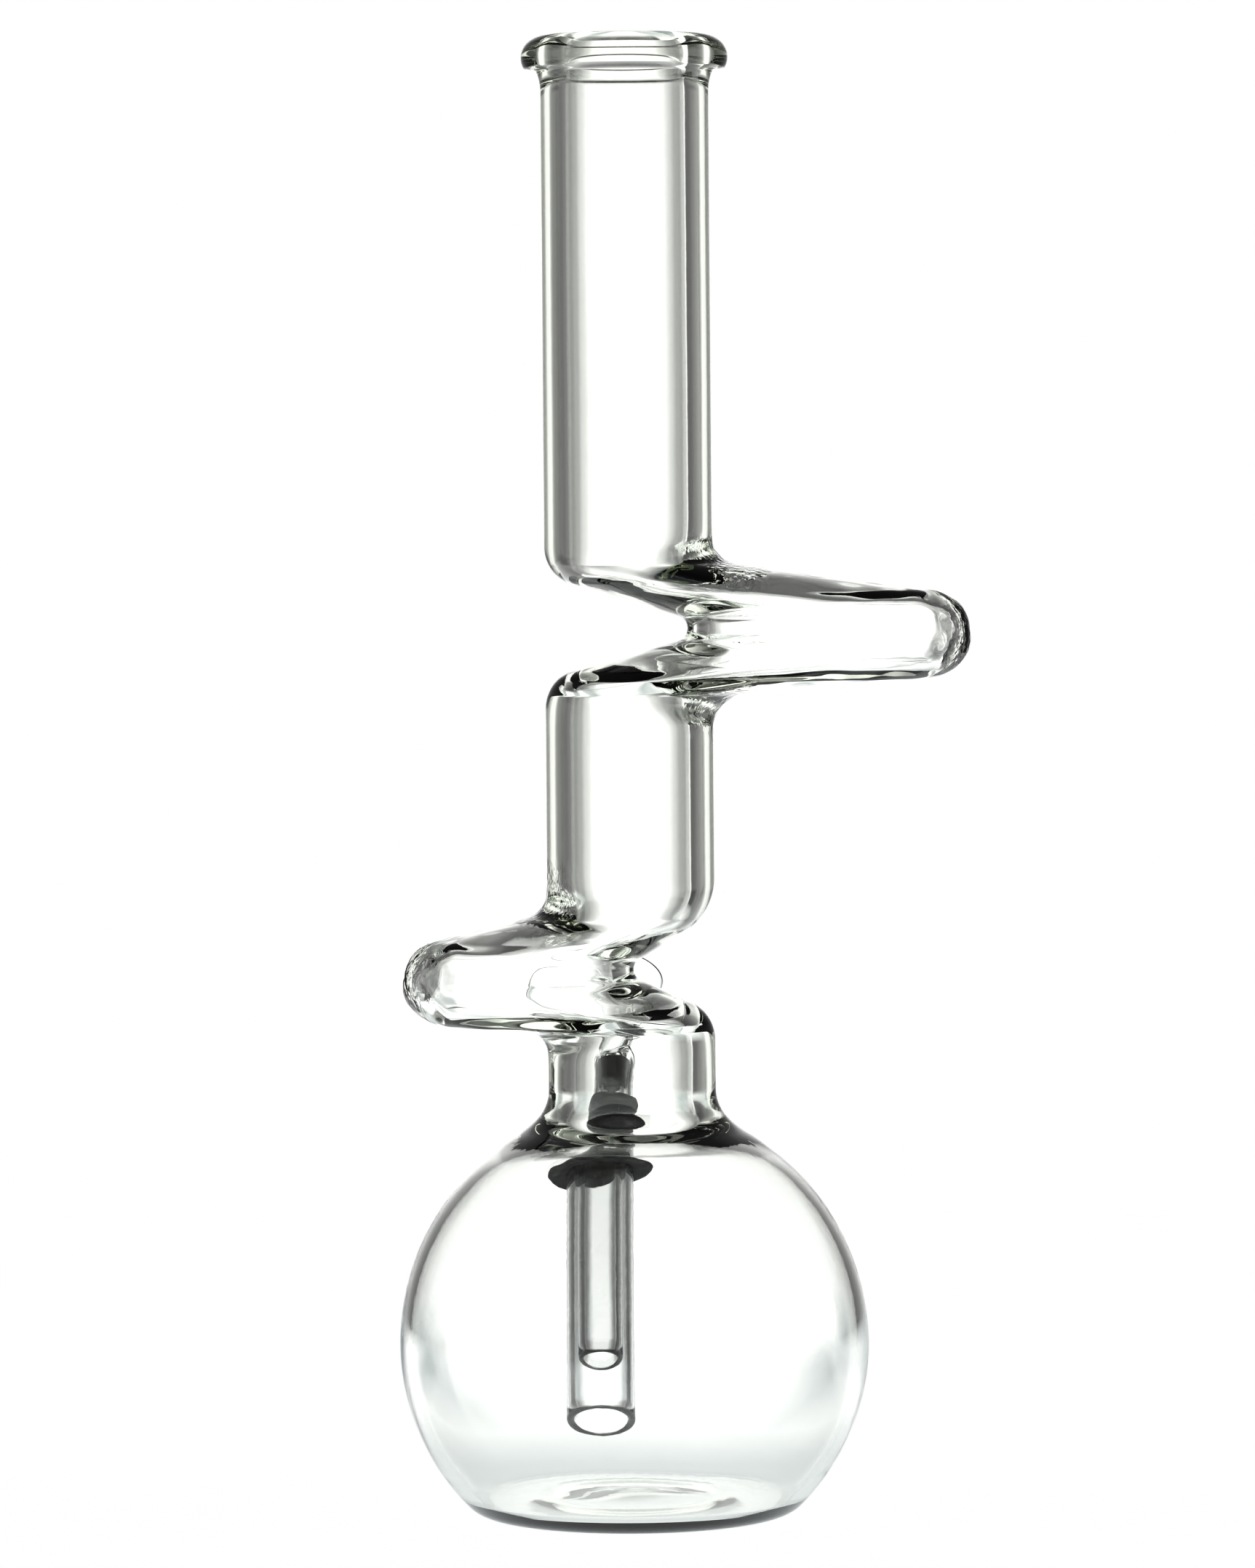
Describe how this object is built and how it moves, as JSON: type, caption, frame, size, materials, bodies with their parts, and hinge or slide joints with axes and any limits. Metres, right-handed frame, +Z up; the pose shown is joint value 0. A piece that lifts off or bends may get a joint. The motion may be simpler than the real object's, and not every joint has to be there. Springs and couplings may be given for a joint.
{
  "type": "glass water pipe",
  "caption": "Clear glass water pipe with a round bulb base, a straight neck with sideways zigzag folds, a rolled mouth and a pull-out slide bowl in a rubber-sealed downstem.",
  "frame": {"origin": "centre of the flat foot, on the surface it stands on", "axes": "+Z up along the neck, +X the way the upper fold points, +Y towards the downstem and its bowl"},
  "size_m": [0.1189, 0.1104, 0.3048],
  "materials": {
    "body_glass": "clear, gloss, faint green-grey in the thick places",
    "stem_glass": "clear, gloss, with fine dust specks",
    "black_rubber": "matt moulded rubber with dust"
  },
  "bodies": {
    "glass": {"bulb_foot": "body_glass", "bulb_lower_wall": "body_glass", "bulb_upper_wall": "body_glass", "bulb_shoulder": "body_glass", "lower_neck": "body_glass", "lower_fold_lower_arm": "body_glass", "lower_fold_upper_arm": "body_glass", "middle_tube": "body_glass", "upper_fold_lower_arm": "body_glass", "upper_fold_upper_arm": "body_glass", "mouth_tube": "body_glass", "mouth_rim": "body_glass", "wall_grommet": "black_rubber"},
    "stem": {"downstem": "stem_glass", "slide_seal": "black_rubber"},
    "slide": {"slide_stem": "stem_glass", "slide_bowl": "stem_glass"}
  },
  "joints": [
    {"name": "downstem_pull", "type": "slide", "parent": "glass", "child": "stem", "axis": [0, 0.5736, 0.8192], "range_m": [0, 0.085]},
    {"name": "slide_pull", "type": "slide", "parent": "stem", "child": "slide", "axis": [0, 0.5736, 0.8192], "range_m": [0, 0.08]}
  ]
}
